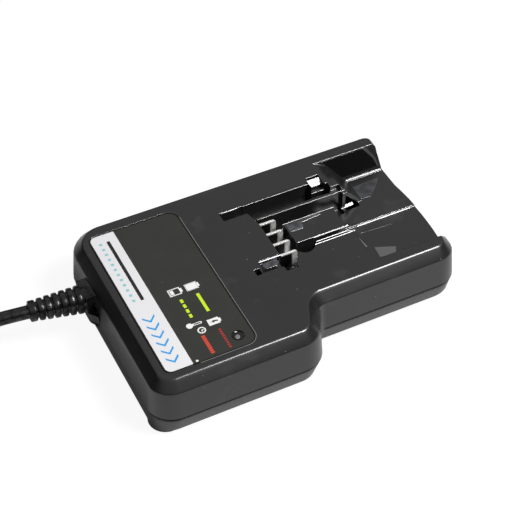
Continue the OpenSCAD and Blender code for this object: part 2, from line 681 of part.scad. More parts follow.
module output_diode() {
    color([0.08, 0.08, 0.09]) place() on_board(diode_at) translate([0, 0, 2.6]) rotate([0, 90, 0]) {
        cylinder(d = 5.2, h = 9, $fn = 24);
        translate([0, 0, -2]) cylinder(d = 1.2, h = 13, $fn = 16);
    }
}

module control_chip() {
    color([0.07, 0.07, 0.08]) place() on_board(chip_at) {
        translate([0, 0, 0.2]) cube(chip);
        for (i = [0:7]) for (x = [0.1 - chip_leg[0], chip[0] - 0.1])
            translate([x, (i + 0.5) * chip[1] / 8 - chip_leg[1] / 2, 0]) cube(chip_leg);
    }
}

module small_parts() {
    color([0.55, 0.45, 0.30]) place() {
        for (p = row_at) for (i = [0:3]) on_board([p[0] + tiny_pitch * i, p[1]]) cube(tiny);
        on_board(sensor_at) cube(sensor);
        on_board(relay_at) cube(relay);
    }
}

module board_screws() {
    color([0.70, 0.70, 0.70]) place() at(post_xy) {
        translate([0, 0, board_top]) cylinder(d = board_screw_d + 2.1, h = 1.6, $fn = 24);
        translate([0, 0, floor_t + 0.4]) cylinder(d = board_screw_d, h = board_top - floor_t, $fn = 24);
    }
}

module housing_screws() {
    color([0.68, 0.68, 0.68]) place() at(screw_xy) difference() {
        union() {
            translate([0, 0, screw_z - 2]) cylinder(d = screw_head_d, h = 2, $fn = 32);
            translate([0, 0, screw_z - eps]) cylinder(d = screw_d, h = screw_l, $fn = 24);
        }
        for (a = [0, 90]) rotate(a) translate([-drive[0] / 2, -drive[1] / 2, screw_z - 3]) cube(drive);
    }
}

module rubber_feet() {
    color([0.13, 0.13, 0.13]) place() at(foot_xy) translate([0, 0, -foot_h])
        cylinder(d1 = foot_d - 1, d2 = foot_d, h = foot_h + 0.4, $fn = 48);
}

wire_ends = [[-1.1, -9.7], [1.3, 7.3]];   // of each wire, from the line of the lead
wire_routes = [for (w = wire_ends) [for (p = [[7.5, 0, 19], [10, 0.1, 18.6], [13, 0.5, 15],
    [16, 0.85, 10.5], [18, 1, board_top + 0.1]]) [p[0], cord_y + w[0] + (w[1] - w[0]) * p[1], p[2]]]];

module lead_wires() {
    color([0.20, 0.30, 0.60]) place() for (w = wire_routes) tube(route(w, 4), 1.9, 8);
}

// half profile of one ring of width w, whose foot is at height z
function boot_r(z) = (boot_d - boot_step * (z - boot_start) / boot_pitch) / 2;
function boot_core(z) = boot_r(z) - ring_deep;
function ring(z, w) = let (r = boot_r(z), t = 0.3 * ring_round) [
    [boot_core(z), z], [r - ring_round, z], [r - t, z + t], [r, z + ring_round],
    [r, z + w - ring_round], [r - t, z + w - t], [r - ring_round, z + w], [boot_core(z + w), z + w]];

module strain_relief() {
    color([0.07, 0.07, 0.07]) place() {
        collar_shape(collar_x, 1.4, 0);
        collar_shape(1.4 - eps, 4.6, -1);
        collar_shape(4.6 - eps, 7.5, -0.1);
        translate([collar_x + 1, cord_y - 0.95, cord_z]) rotate([0, 0, 180 - cord_turn]) rotate([0, 90, 0])
            rotate_extrude($fn = 40) polygon(concat([[0, 0], [boot_core(0), 0]],
                [for (i = [0:boot_rings - 1]) each ring(boot_start + boot_pitch * i,
                    i < boot_rings - 1 ? ring_w : ring_w + ring_more)],
                [[boot_core(boot_l), boot_tip], [0, boot_tip]]));
    }
}

cord_route = [
    [collar_x + 1 - boot_tip * cos(cord_turn), cord_y - 0.95 + boot_tip * sin(cord_turn), cord_z],
    [-31, cord_y + 2.8, 19.1], [-37, cord_y + 3.6, 18.9], [-43, cord_y + 4.3, 17.9],
    [-49, cord_y + 4.9, 15.6], [-55, cord_y + 5.4, 12.2], [-61, cord_y + 5.8, 8.4],
    [-67, cord_y + 6, 5.2], [-73, lie_y, 3.1], [-79, lie_y, 2.2], [-85, lie_y, cord_low],
    [-93, lie_y, cord_low], [coil_xy[0], lie_y, cord_low]
];
plug_xyz = [-131, lie_y + 1, 5.5 - foot_h];
plug_turn = 176;                  // the plug points away from the housing
plug_route = [
    [coil_xy[0], lie_y, 10.4], [-107, lie_y, 10.2], [-113, lie_y + 0.3, 8.9],
    [-119, lie_y + 0.5, 6.8], [-125, lie_y + 0.8, 4.9], plug_xyz
];

module mains_cord() {
    color([0.08, 0.08, 0.08]) place() {
        tube(route(cord_route, 2), cord_d, 12);
        tube(route(plug_route, 2), cord_d, 12);
    }
}

// section of the coiled bundle, g larger all round
module bundle(g) {
    r = cord_d / 2;
    translate([-coil_w / 2 - g, -g]) polygon(panel_shape(0, 0, coil_w + 2 * g, coil_h + 2 * g, r, r));
}

module cord_coil() {
    color([0.08, 0.08, 0.08]) place() translate([coil_xy[0], coil_xy[1], coil_low])
        rotate_extrude($fn = 64) translate([coil_d / 2, 0]) bundle(0);
}

module cord_tie() {
    color([0.05, 0.05, 0.05]) place() translate([coil_xy[0], coil_xy[1], coil_low])
        rotate([0, 0, 20]) translate([coil_d / 2, 2, 0]) rotate([90, 0, 0]) linear_extrude(4)
            difference() {
                bundle(tie_t);
                bundle(0.1);
            }
}

module plug_body() {
    color([0.08, 0.08, 0.08]) place() translate(plug_xyz) rotate([0, 0, plug_turn]) {
        rotate([0, 90, 0]) cylinder(d1 = 8, d2 = 10.6, h = 16, $fn = 32);
        translate([14, 0, -5.5]) linear_extrude(11)
            polygon([[0, -5], [8, -11], [20, -12.5], [22, -11], [22, 11], [20, 12.5], [8, 11], [0, 5]]);
    }
}

module plug_pins() {
    color([0.80, 0.80, 0.78]) place() translate(plug_xyz) rotate([0, 0, plug_turn]) for (s = [-1, 1])
        translate([36, s * pin_pitch / 2, 0]) rotate([0, 90, 0]) {
            cylinder(d = pin_d - 0.3, h = 10, $fn = 24);
            translate([0, 0, 10 - eps]) cylinder(d = pin_d, h = 8, $fn = 24);
            translate([0, 0, 18 - 2 * eps]) cylinder(d1 = pin_d, d2 = pin_d - 1.4, h = 1, $fn = 24);
        }
}

upper_housing();
lower_housing();
label_panel();
label_strip();
indicator_window();
status_led();
contact_blade_1();
contact_blade_2();
contact_blade_3();
contact_blade_4();
terminal_block();
circuit_board();
transformer_core();
transformer_bobbin();
input_capacitor();
output_capacitors();
filter_choke();
bridge_rectifier();
mains_fuse();
heat_sink();
power_transistor();
output_diode();
control_chip();
small_parts();
board_screws();
housing_screws();
rubber_feet();
lead_wires();
strain_relief();
mains_cord();
cord_coil();
cord_tie();
plug_body();
plug_pins();
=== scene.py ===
# Slide-in battery charger: camera, free cord, light, the finish of every solid, fine moulded
# details and the printed label. Places are in the housing's own millimetres, as in the part's
# source, and at() turns them into scene metres.
import json
import math

import bmesh
import bpy
from mathutils import Matrix, Vector


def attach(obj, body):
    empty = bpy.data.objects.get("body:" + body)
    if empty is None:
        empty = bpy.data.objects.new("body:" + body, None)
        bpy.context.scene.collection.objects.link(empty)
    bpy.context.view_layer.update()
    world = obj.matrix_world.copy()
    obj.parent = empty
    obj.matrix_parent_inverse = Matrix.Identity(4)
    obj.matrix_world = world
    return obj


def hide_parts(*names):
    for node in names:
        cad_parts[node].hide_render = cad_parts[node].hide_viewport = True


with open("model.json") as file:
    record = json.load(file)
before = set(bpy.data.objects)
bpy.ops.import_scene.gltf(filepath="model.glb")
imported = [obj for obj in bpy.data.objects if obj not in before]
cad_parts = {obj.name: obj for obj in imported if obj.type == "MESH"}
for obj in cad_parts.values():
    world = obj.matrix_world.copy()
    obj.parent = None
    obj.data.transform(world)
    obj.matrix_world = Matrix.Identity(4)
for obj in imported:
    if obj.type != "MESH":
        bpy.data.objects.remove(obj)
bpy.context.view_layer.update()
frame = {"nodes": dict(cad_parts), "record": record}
scene = bpy.context.scene
scene.view_settings.view_transform = "Standard"
nodes = frame["nodes"]

MM = 0.001
BODY_L, BODY_W, BODY_H, FOOT_H = 146.8, 100.0, 28.6, 1.5
TAB_OUT = 2.6                                     # the tab stands this far past the cord end


def at(x, y, z):
    """Housing millimetres to scene metres."""
    return Vector((x + (TAB_OUT - BODY_L) / 2, y - BODY_W / 2, z + FOOT_H)) * MM


def around(degrees, radius=1.0):
    """Point of a circle about the origin."""
    return radius * math.cos(math.radians(degrees)), radius * math.sin(math.radians(degrees))


def turned_to(direction):
    """Rotation that points a camera's or lamp's -Z along a direction."""
    return direction.to_track_quat("-Z", "Y").to_euler()


# ---------------------------------------------------------------- camera
PHOTO_PX = 528
FOCAL_PX = 1503                                   # fitted to the photograph's straight edges
SENSOR_MM, NEAREST = 36, 0.01
HEADING, DOWN = math.radians(63.61), math.radians(45.7)
AIM, DISTANCE = at(66.7, 43.3, 30), 0.6058


def add_camera():
    look = Vector((math.cos(DOWN) * math.cos(HEADING), math.cos(DOWN) * math.sin(HEADING),
                   -math.sin(DOWN)))
    data = bpy.data.cameras.new("camera")
    data.sensor_width = SENSOR_MM
    data.lens = SENSOR_MM * FOCAL_PX / PHOTO_PX
    data.clip_start = NEAREST
    camera = bpy.data.objects.new("camera", data)
    camera.location = AIM - look * DISTANCE
    camera.rotation_euler = turned_to(look)
    scene.collection.objects.link(camera)
    scene.camera = camera


add_camera()

# ---------------------------------------------------------------- free cord
CORD_D = 5.7
COLLAR_X, CORD_Y, CORD_Z = -3.0, 68.7, 19.1
CORD_TURN = 7.5                                   # degrees to the far side
BOOT_START, BOOT_RINGS, BOOT_PITCH, LAST_RING, BOOT_END = 1.4, 7, 3.12, 3, 0.3
BOOT_TIP = BOOT_START + BOOT_PITCH * (BOOT_RINGS - 1) + LAST_RING + BOOT_END
BOOT_ROOT_X, BOOT_ROOT_Y = COLLAR_X + 1, CORD_Y - 0.95
TIE_T, COIL_D = 0.6, 68
COIL_LOW = TIE_T - FOOT_H
CORD_LOW = COIL_LOW + CORD_D / 2 + 0.1            # middle of a lead that lies on the ground
COIL_OUT = COIL_D / 2 + CORD_D
LIE_Y = CORD_Y + 6.1                              # line along which the lead reaches the coil
COIL_X, COIL_Y = -101, LIE_Y - COIL_OUT
CORD_EXIT = (BOOT_ROOT_X - around(CORD_TURN, BOOT_TIP)[0],
             BOOT_ROOT_Y + around(CORD_TURN, BOOT_TIP)[1], CORD_Z)
LEAVING = [CORD_EXIT, (-31, CORD_Y + 2.8, 19.1), (-37, CORD_Y + 3.6, 18.9),
           (-43, CORD_Y + 4.3, 17.9), (-49, CORD_Y + 4.9, 15.6), (-55, CORD_Y + 5.4, 12.2),
           (-61, CORD_Y + 5.8, 8.4), (-67, CORD_Y + 6, 5.2), (-73, LIE_Y, 3.1),
           (-79, LIE_Y, 2.2), (-85, LIE_Y, CORD_LOW), (-93, LIE_Y, CORD_LOW)]
TO_PLUG = [(-107, LIE_Y, 10.2), (-113, LIE_Y + 0.3, 8.9), (-119, LIE_Y + 0.5, 6.8),
           (-125, LIE_Y + 0.8, 4.9), (-131, LIE_Y + 1, 5.5 - FOOT_H)]
# column and row of each turn in the bundle, and of the end that leaves it
BUNDLE = [(1, 0), (0, 0), (-1, 0), (-0.5, 1), (-1, 2), (0, 2), (0.5, 1), (1, 2)]
TURNS, TURN_POINTS = 7, 24
ROW_RISE = CORD_D * math.sin(math.radians(60))
SHIFT_FROM = 0.75                                 # part of a turn that stays in its place


def coil_points():
    """The turns of the coil, entered and left at the far side."""
    points = []
    for i in range(TURNS * TURN_POINTS + 1):
        turn, part = divmod(i / TURN_POINTS, 1)
        here = BUNDLE[int(turn)]
        there = BUNDLE[min(int(turn) + 1, len(BUNDLE) - 1)]
        shift = max(0.0, (part - SHIFT_FROM) / (1 - SHIFT_FROM))
        shift = shift * shift * (3 - 2 * shift)
        column, row = (a + (b - a) * shift for a, b in zip(here, there))
        x, y = around(90 + 360 * i / TURN_POINTS, COIL_D / 2 + CORD_D * column)
        points.append((COIL_X + x, COIL_Y + y, CORD_LOW + ROW_RISE * row))
    return points


def add_cord():
    curve = bpy.data.curves.new("mains_lead", "CURVE")
    curve.dimensions = "3D"
    curve.bevel_depth = 1.0                       # times the radius of each point
    curve.bevel_resolution = 8
    curve.resolution_u = 6
    points = LEAVING + coil_points() + TO_PLUG
    spline = curve.splines.new("BEZIER")
    spline.bezier_points.add(len(points) - 1)
    for knot, point in zip(spline.bezier_points, points):
        knot.co = at(*point)
        knot.radius = CORD_D / 2 * MM
        knot.handle_left_type = knot.handle_right_type = "AUTO"
    lead = bpy.data.objects.new("mains_lead", curve)
    scene.collection.objects.link(lead)
    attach(lead, "root")
    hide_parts("mains_cord", "cord_coil")
    return lead


lead = add_cord()

# ---------------------------------------------------------------- floor, world and lamp
FLOOR_SIZE = 6.0
FLOOR_ALBEDO, FLOOR_GLOW = 0.13, 0.92             # as the camera sees it
MIRRORED_ALBEDO, MIRRORED_GLOW = 0.62, 0.08       # as a reflection shows it
AMBIENT = 0.14                                    # light from all around
# what a reflection shows, from the horizon at height 0 to straight above at height 1
STUDIO_LOW, STUDIO_TOP = (0.01, 0.01, 0.011, 1), 0.35
STUDIO = ((0.36, 0.006), (0.47, 0.38), (0.60, 0.42), (0.80, 0.40), (0.86, 0.54), (0.91, 0.42))
KEY_PLACE, KEY_SIZE, KEY_WATTS = (0.41, -0.44, 0.82), 0.38, 12.0
KEY_AIM = (0, 0, 0.01)
SHOWN_RAYS = ("Is Camera Ray", "Is Glossy Ray", "Is Transmission Ray")
# first and second input and the output of a Mix node
MIX_SOCKETS = {"FLOAT": (2, 3, 0), "VECTOR": (4, 5, 1), "RGBA": (6, 7, 2)}


def linked(tree, kind, inputs=(), **settings):
    """A node with its settings, and its inputs given as numbers, colours or sockets."""
    node = tree.nodes.new(kind)
    for key, value in settings.items():
        setattr(node, key, value)
    for key, value in dict(inputs).items():
        if isinstance(value, bpy.types.NodeSocket):
            tree.links.new(value, node.inputs[key])
        else:
            node.inputs[key].default_value = value
    return node


def reckoned(tree, operation, *values):
    """What a Math node makes of numbers and sockets."""
    return linked(tree, "ShaderNodeMath", enumerate(values), operation=operation).outputs[0]


def mixed(tree, amount, first, second, kind="FLOAT"):
    """The first where the amount is 0, the second where it is 1."""
    a, b, result = MIX_SOCKETS[kind]
    return linked(tree, "ShaderNodeMix", {0: amount, a: first, b: second},
                  data_type=kind).outputs[result]


def looking(tree, kinds):
    """1 for rays of the named kinds, 0 for the others."""
    path = tree.nodes.new("ShaderNodeLightPath")
    total = path.outputs[kinds[0]]
    for kind in kinds[1:]:
        total = reckoned(tree, "MAXIMUM", total, path.outputs[kind])
    return total


def grey(level):
    return level, level, level, 1


def add_floor():
    mesh = bpy.data.meshes.new("floor")
    half = FLOOR_SIZE / 2
    mesh.from_pydata([(-half, -half, 0), (half, -half, 0), (half, half, 0), (-half, half, 0)],
                     [], [(0, 1, 2, 3)])
    floor = bpy.data.objects.new("floor", mesh)
    scene.collection.objects.link(floor)
    material = bpy.data.materials.new("floor_paper")
    material.use_nodes = True
    tree = material.node_tree
    tree.nodes.clear()
    mirrored = looking(tree, ["Is Glossy Ray"])
    color = mixed(tree, mirrored, grey(FLOOR_ALBEDO), grey(MIRRORED_ALBEDO), "RGBA")
    diffuse = linked(tree, "ShaderNodeBsdfDiffuse", {"Color": color})
    level = mixed(tree, mirrored, FLOOR_GLOW, MIRRORED_GLOW)
    strength = reckoned(tree, "MULTIPLY", looking(tree, SHOWN_RAYS), level)
    glow = linked(tree, "ShaderNodeEmission", {"Strength": strength})
    both = linked(tree, "ShaderNodeAddShader", {0: diffuse.outputs[0], 1: glow.outputs[0]})
    linked(tree, "ShaderNodeOutputMaterial", {"Surface": both.outputs[0]})
    mesh.materials.append(material)


def add_world():
    """White behind the object; a reflection shows a studio, dark low down and pale above."""
    world = bpy.data.worlds.new("studio")
    scene.world = world
    world.use_nodes = True
    tree = world.node_tree
    tree.nodes.clear()
    place = tree.nodes.new("ShaderNodeTexCoord")
    axes = linked(tree, "ShaderNodeSeparateXYZ", {0: place.outputs["Generated"]})
    ramp = linked(tree, "ShaderNodeValToRGB", {0: axes.outputs["Z"]})
    stops = ramp.color_ramp.elements
    stops[0].position, stops[0].color = 0.0, STUDIO_LOW
    stops[1].position, stops[1].color = 1.0, grey(STUDIO_TOP)
    for height, level in STUDIO:
        stops.new(height).color = grey(level)
    shown = mixed(tree, looking(tree, ["Is Glossy Ray"]), grey(1), ramp.outputs[0], "RGBA")
    backdrop = linked(tree, "ShaderNodeBackground", {"Color": shown})
    ambient = linked(tree, "ShaderNodeBackground", {"Color": grey(AMBIENT)})
    mix = linked(tree, "ShaderNodeMixShader", {0: looking(tree, SHOWN_RAYS),
                                              1: ambient.outputs[0], 2: backdrop.outputs[0]})
    linked(tree, "ShaderNodeOutputWorld", {"Surface": mix.outputs[0]})


def add_lamp():
    data = bpy.data.lights.new("key", "AREA")
    data.shape = "RECTANGLE"
    data.size = data.size_y = KEY_SIZE
    data.energy = KEY_WATTS
    lamp = bpy.data.objects.new("key", data)
    lamp.location = KEY_PLACE
    lamp.rotation_euler = turned_to(Vector(KEY_AIM) - Vector(KEY_PLACE))
    scene.collection.objects.link(lamp)


add_floor()
add_world()
add_lamp()

# ---------------------------------------------------------------- materials
GRAIN = 2600                                      # cells to the metre of a moulded grain
POLISH = 0.15                                     # share of the skin of a polished mould
RIM_INDEX, RIM_ROUGH = 2.5, 0.17                  # burnished edges of the housings
# heights of the parting seam, painted black as the shade in its groove
SEAM_SHADE_LOW, SEAM_SHADE_HIGH = at(0, 0, 8.95).z, at(0, 0, 10.85).z
RING_INDEX, RING_ROUGH = 1.65, 0.22               # lead and rings, handled bright
COLLAR_FROM = at(1.5, 0, 0).x                     # the collar beyond it stays dull
# the contact blades' painted dark reflection ends at the first, their painted highlight starts at
# the second
LIT_FLANK_FROM, TOP_HIGHLIGHT_FROM = at(81.9, 0, 0).x, at(0, 0, 25.35).z   # of the contact blades
DUST, LINT, OLD_DUST = (0.30, 0.30, 0.29), (0.13, 0.13, 0.125), (0.12, 0.12, 0.115)
# colour of fine scratches, and of the edges: partly wear, partly painted highlight
SCRATCH, RIM_WEAR_AND_HIGHLIGHT = (0.03, 0.03, 0.03), (0.05, 0.05, 0.05)
SCUFF_HUE = (0.92, 0.97, 1.1)
BLACK = (0.0, 0.0, 0.0)


def shaded(color, factor):
    return [c * factor for c in color]


class Finish:
    """A material whose nodes are added one by one around a Principled shader."""

    def __init__(self, name, color, rough, metal=0.0, **sockets):
        self.material = bpy.data.materials.new(name)
        self.material.use_nodes = True
        self.tree = self.material.node_tree
        self.shader = self.tree.nodes["Principled BSDF"]
        self.place = self.tree.nodes.new("ShaderNodeTexCoord").outputs["Object"]
        self.color = None
        self.rough = None
        self.normal = None
        self.set("Base Color", (*color, 1))
        self.set("Roughness", rough)
        self.set("Metallic", metal)
        for key, value in sockets.items():
            self.set(key.replace("_", " "), value)

    def set(self, socket, value):
        self.shader.inputs[socket].default_value = value

    def link(self, value, socket):
        self.tree.links.new(value, self.shader.inputs[socket])

    def add(self, kind, inputs=(), **settings):
        return linked(self.tree, kind, inputs, **settings)

    def spread(self, value, low, high):
        """0 at the low value, 1 at the high one."""
        return self.add("ShaderNodeMapRange", {"Value": value, "From Min": low,
                                              "From Max": high}).outputs[0]

    def noise(self, scale, detail=3, stretch=None, low=0.35, high=0.65):
        """Noise spread from 0 to 1 between its low and high values."""
        place = self.place
        if stretch:
            place = self.add("ShaderNodeMapping", {"Vector": place, "Scale": stretch}).outputs[0]
        noise = self.add("ShaderNodeTexNoise", {"Vector": place, "Scale": scale,
                                               "Detail": detail})
        return self.spread(noise.outputs[0], low, high)

    def specks(self, scale, size, share):
        """Small round specks in some of the cells."""
        cells = self.add("ShaderNodeTexVoronoi", {"Vector": self.place, "Scale": scale})
        pick = self.add("ShaderNodeSeparateColor", {0: cells.outputs["Color"]})
        near = reckoned(self.tree, "LESS_THAN", cells.outputs["Distance"], size)
        some = reckoned(self.tree, "LESS_THAN", pick.outputs[0], share)
        return self.times(near, some)

    def ground(self):
        """The surface's own normal, without bevel or bump."""
        return self.tree.nodes.new("ShaderNodeNewGeometry").outputs["Normal"]

    def edges(self, radius, sharp=0.90, flat=0.985):
        """1 along sharp edges, 0 on flat ground."""
        rounded = self.add("ShaderNodeBevel", {"Radius": radius}, samples=8)
        dot = self.add("ShaderNodeVectorMath", {0: rounded.outputs[0], 1: self.ground()},
                       operation="DOT_PRODUCT")
        return self.spread(dot.outputs["Value"], flat, sharp)

    def along(self, axis):
        return self.add("ShaderNodeSeparateXYZ", {0: self.place}).outputs[axis]

    def band(self, low, high):
        """1 between two heights."""
        return reckoned(self.tree, "COMPARE", self.along("Z"), (low + high) / 2,
                        (high - low) / 2)

    def above(self, axis, value, soft=0.1 * MM):
        """1 where an object coordinate is over a value."""
        return self.spread(self.along(axis), value - soft, value + soft)

    def times(self, a, b):
        return reckoned(self.tree, "MULTIPLY", a, b)

    def less(self, a):
        """1 less the value."""
        return reckoned(self.tree, "SUBTRACT", 1.0, a)

    def at_least(self, a, floor):
        return reckoned(self.tree, "MAXIMUM", a, floor)

    def tint(self, amount, color, share=1.0):
        """Colour laid over what is there, where amount is 1."""
        under = self.color or (*self.shader.inputs["Base Color"].default_value[:3], 1)
        if share != 1.0:
            amount = self.times(amount, share)
        self.color = mixed(self.tree, amount, under, (*color, 1), "RGBA")

    def dull(self, amount, rough, share=1.0):
        """Roughness laid over what is there, where amount is 1."""
        under = self.rough or self.shader.inputs["Roughness"].default_value
        if share != 1.0:
            amount = self.times(amount, share)
        self.rough = mixed(self.tree, amount, under, rough)

    def paint_shade(self, amount):
        """Painted shade: black that hardly reflects anything, where amount is 1."""
        self.tint(amount, BLACK)
        self.link(amount, "Metallic")
        self.normal = mixed(self.tree, amount, self.normal, self.ground(), "VECTOR")

    def soften(self, radius):
        """Rounds the sharp edges in the shading."""
        self.normal = self.add("ShaderNodeBevel", {"Radius": radius}, samples=6).outputs[0]

    def polish(self, amount, index, rough):
        """Glossy skin, where amount is 1."""
        self.set("Coat IOR", index)
        self.set("Coat Roughness", rough)
        self.link(amount, "Coat Weight")
        self.link(self.normal, "Coat Normal")

    def bump(self, height, depth, strength=1.0):
        """Relief of the given depth in metres."""
        inputs = {"Height": height, "Distance": depth, "Strength": strength}
        if self.normal:
            inputs["Normal"] = self.normal
        self.normal = self.add("ShaderNodeBump", inputs).outputs[0]

    def done(self):
        for socket, value in (("Base Color", self.color), ("Roughness", self.rough),
                              ("Normal", self.normal)):
            if value:
                self.link(value, socket)
        return self.material


def housing_plastic(name, color, rough, worn=0.0, index=0.5, round_off=0.45 * MM):
    f = Finish(name, color, rough, Specular_IOR_Level=index)
    f.soften(round_off)
    f.bump(f.noise(GRAIN, 2), 0.005 * MM, 0.4)
    f.tint(f.noise(30, 4), shaded(color, 1.25), 0.5)
    f.dull(f.noise(45, 5, low=0.40, high=0.75), rough + 0.03)
    # handling marks and fine scratches
    f.dull(f.noise(90, 9, (1, 0.3, 1), 0.62, 0.74), rough + 0.12, 0.35)
    f.tint(f.noise(900, 9, (1, 0.2, 1), 0.68, 0.78), SCRATCH, 0.3)
    # burnished edges on a polished mould, but not in the seam's painted shade
    seam_shade = f.band(SEAM_SHADE_LOW, SEAM_SHADE_HIGH)
    rims = f.times(f.edges(0.9 * round_off), f.less(seam_shade))
    f.polish(f.times(f.at_least(rims, POLISH), f.less(seam_shade)), RIM_INDEX, RIM_ROUGH)
    # lighter edges: partly wear, partly painted highlight
    f.tint(f.times(rims, f.noise(420, 6, low=0.50, high=0.66)), RIM_WEAR_AND_HIGHLIGHT, 0.5)
    # dust and pale patches
    f.tint(f.specks(170, 0.032, 0.8), DUST, 0.8)
    f.tint(f.specks(420, 0.045, 0.6), LINT, 0.7)
    f.tint(f.noise(75, 8, low=0.60, high=0.68), shaded(color, 2.4), 0.7)
    if worn:
        scuffs = f.noise(260, 7, low=0.36, high=0.66)
        f.tint(scuffs, shaded(SCUFF_HUE, worn), 0.9)
        f.dull(scuffs, 0.5, 0.8)
    # painted shade: the parting seam black and without reflection
    f.paint_shade(seam_shade)
    return f.done()


def film():
    f = Finish("panel_film", (0.024, 0.024, 0.0205), 0.42)
    f.soften(0.2 * MM)
    f.bump(f.noise(3200, 2), 0.01 * MM, 0.4)
    f.tint(f.noise(70, 5), (0.030, 0.030, 0.026), 0.6)
    f.dull(f.noise(120, 6, low=0.45, high=0.7), 0.52)
    f.tint(f.specks(240, 0.05, 0.10), (0.30, 0.30, 0.28), 0.8)
    return f.done()


def ink_and_painted_light(name, color):
    f = Finish(name, color, 0.4)
    f.tint(f.noise(2200, 3, low=0.50, high=0.72), shaded(color, 0.72), 0.6)
    f.dull(f.noise(300, 4), 0.5)
    f.bump(f.noise(2600, 2), 0.01 * MM, 0.4)
    return f.done()


def strip_white():
    f = Finish("strip_white", (0.84, 0.835, 0.85), 0.35)
    f.soften(0.15 * MM)
    f.tint(f.noise(45, 5), (0.80, 0.78, 0.80), 0.5)
    f.tint(f.noise(900, 6, low=0.62, high=0.74), (0.55, 0.55, 0.55), 0.35)
    f.bump(f.noise(2400, 2), 0.008 * MM, 0.4)
    f.tint(f.specks(180, 0.04, 0.10), (0.2, 0.2, 0.2), 0.6)
    return f.done()


def contact_metal():
    f = Finish("contact_metal", (0.92, 0.91, 0.89), 0.26, 0.45)
    f.soften(0.12 * MM)
    f.bump(f.noise(900, 3, (0.15, 1, 1)), 0.01 * MM, 0.3)
    f.dull(f.noise(300, 5), 0.38, 0.7)
    f.tint(f.noise(500, 5, low=0.45, high=0.62), (0.35, 0.35, 0.34), 0.7)
    # painted dark reflection on the blade face up to its bright flank, and a painted highlight on
    # its upper edge
    f.tint(f.less(f.above("X", LIT_FLANK_FROM, 0.35 * MM)), (0.010, 0.010, 0.010))
    f.tint(f.above("Z", TOP_HIGHLIGHT_FROM), (0.98, 0.97, 0.95))
    return f.done()


def steel(name, color, rough):
    f = Finish(name, color, rough, 1.0)
    f.soften(0.1 * MM)
    f.dull(f.noise(400, 5), rough + 0.15, 0.8)
    f.tint(f.noise(700, 5, low=0.5, high=0.7), shaded(color, 0.7), 0.5)
    f.bump(f.noise(2400, 2), 0.006 * MM, 0.3)
    return f.done()


def rubber(name, color, rough, index=0.5, shine=0.0):
    f = Finish(name, color, rough, Specular_IOR_Level=index)
    f.soften(0.2 * MM)
    f.bump(f.noise(1800, 4), 0.03 * MM, 0.5)
    f.tint(f.noise(300, 6, low=0.45, high=0.7), shaded(color, 2.2), 0.5)
    f.dull(f.noise(160, 5), rough + 0.15, 0.7)
    f.tint(f.specks(400, 0.05, 0.05), OLD_DUST, 0.7)
    if shine:
        handled = f.times(f.noise(350, 3, low=0.25, high=0.60), shine)
        f.polish(f.times(handled, f.less(f.above("X", COLLAR_FROM))), RING_INDEX, RING_ROUGH)
    return f.done()


def clear_window():
    f = Finish("window_clear", (0.02, 0.018, 0.02), 0.05, Transmission_Weight=0.6, IOR=1.49)
    f.bump(f.noise(350, 2), 0.02 * MM, 0.3)
    f.dull(f.noise(500, 5, low=0.5, high=0.7), 0.2, 0.5)
    return f.done()


def red_lens():
    f = Finish("led_red", (0.50, 0.03, 0.02), 0.15, Transmission_Weight=0.5)
    f.tint(f.noise(900, 2), (0.35, 0.02, 0.015), 0.5)
    return f.done()


def plain_part(name, color, rough, metal=0.0, scale=900):
    """Moulded or cast part inside the housing."""
    f = Finish(name, color, rough, metal)
    f.soften(0.1 * MM)
    f.tint(f.noise(scale, 4), shaded(color, 0.7), 0.6)
    f.dull(f.noise(scale / 2, 4), min(1.0, rough + 0.2), 0.6)
    f.bump(f.noise(2 * scale, 2), 0.02 * MM, 0.4)
    return f.done()


def board_green():
    f = Finish("board_green", (0.012, 0.10, 0.035), 0.35)
    tracks = f.add("ShaderNodeTexBrick", {"Vector": f.place, "Scale": 130, "Mortar Size": 0.03,
                                          "Color1": grey(0), "Color2": grey(0),
                                          "Mortar": grey(1)}).outputs["Fac"]
    f.tint(tracks, (0.03, 0.22, 0.07), 0.7)
    f.tint(f.noise(200, 4), (0.008, 0.07, 0.025), 0.5)
    f.bump(tracks, 0.03 * MM, 0.5)
    return f.done()


def wound(name, color, rough, axis, turns):
    """Winding: fine ridges across the axis."""
    f = Finish(name, color, rough)
    ridges = f.add("ShaderNodeTexWave", {"Vector": f.place, "Scale": turns, "Distortion": 0.2},
                   bands_direction=axis).outputs["Fac"]
    f.bump(ridges, 0.15 * MM, 0.8)
    f.tint(ridges, shaded(color, 0.5), 0.5)
    f.dull(f.noise(800, 3), rough + 0.15, 0.6)
    return f.done()


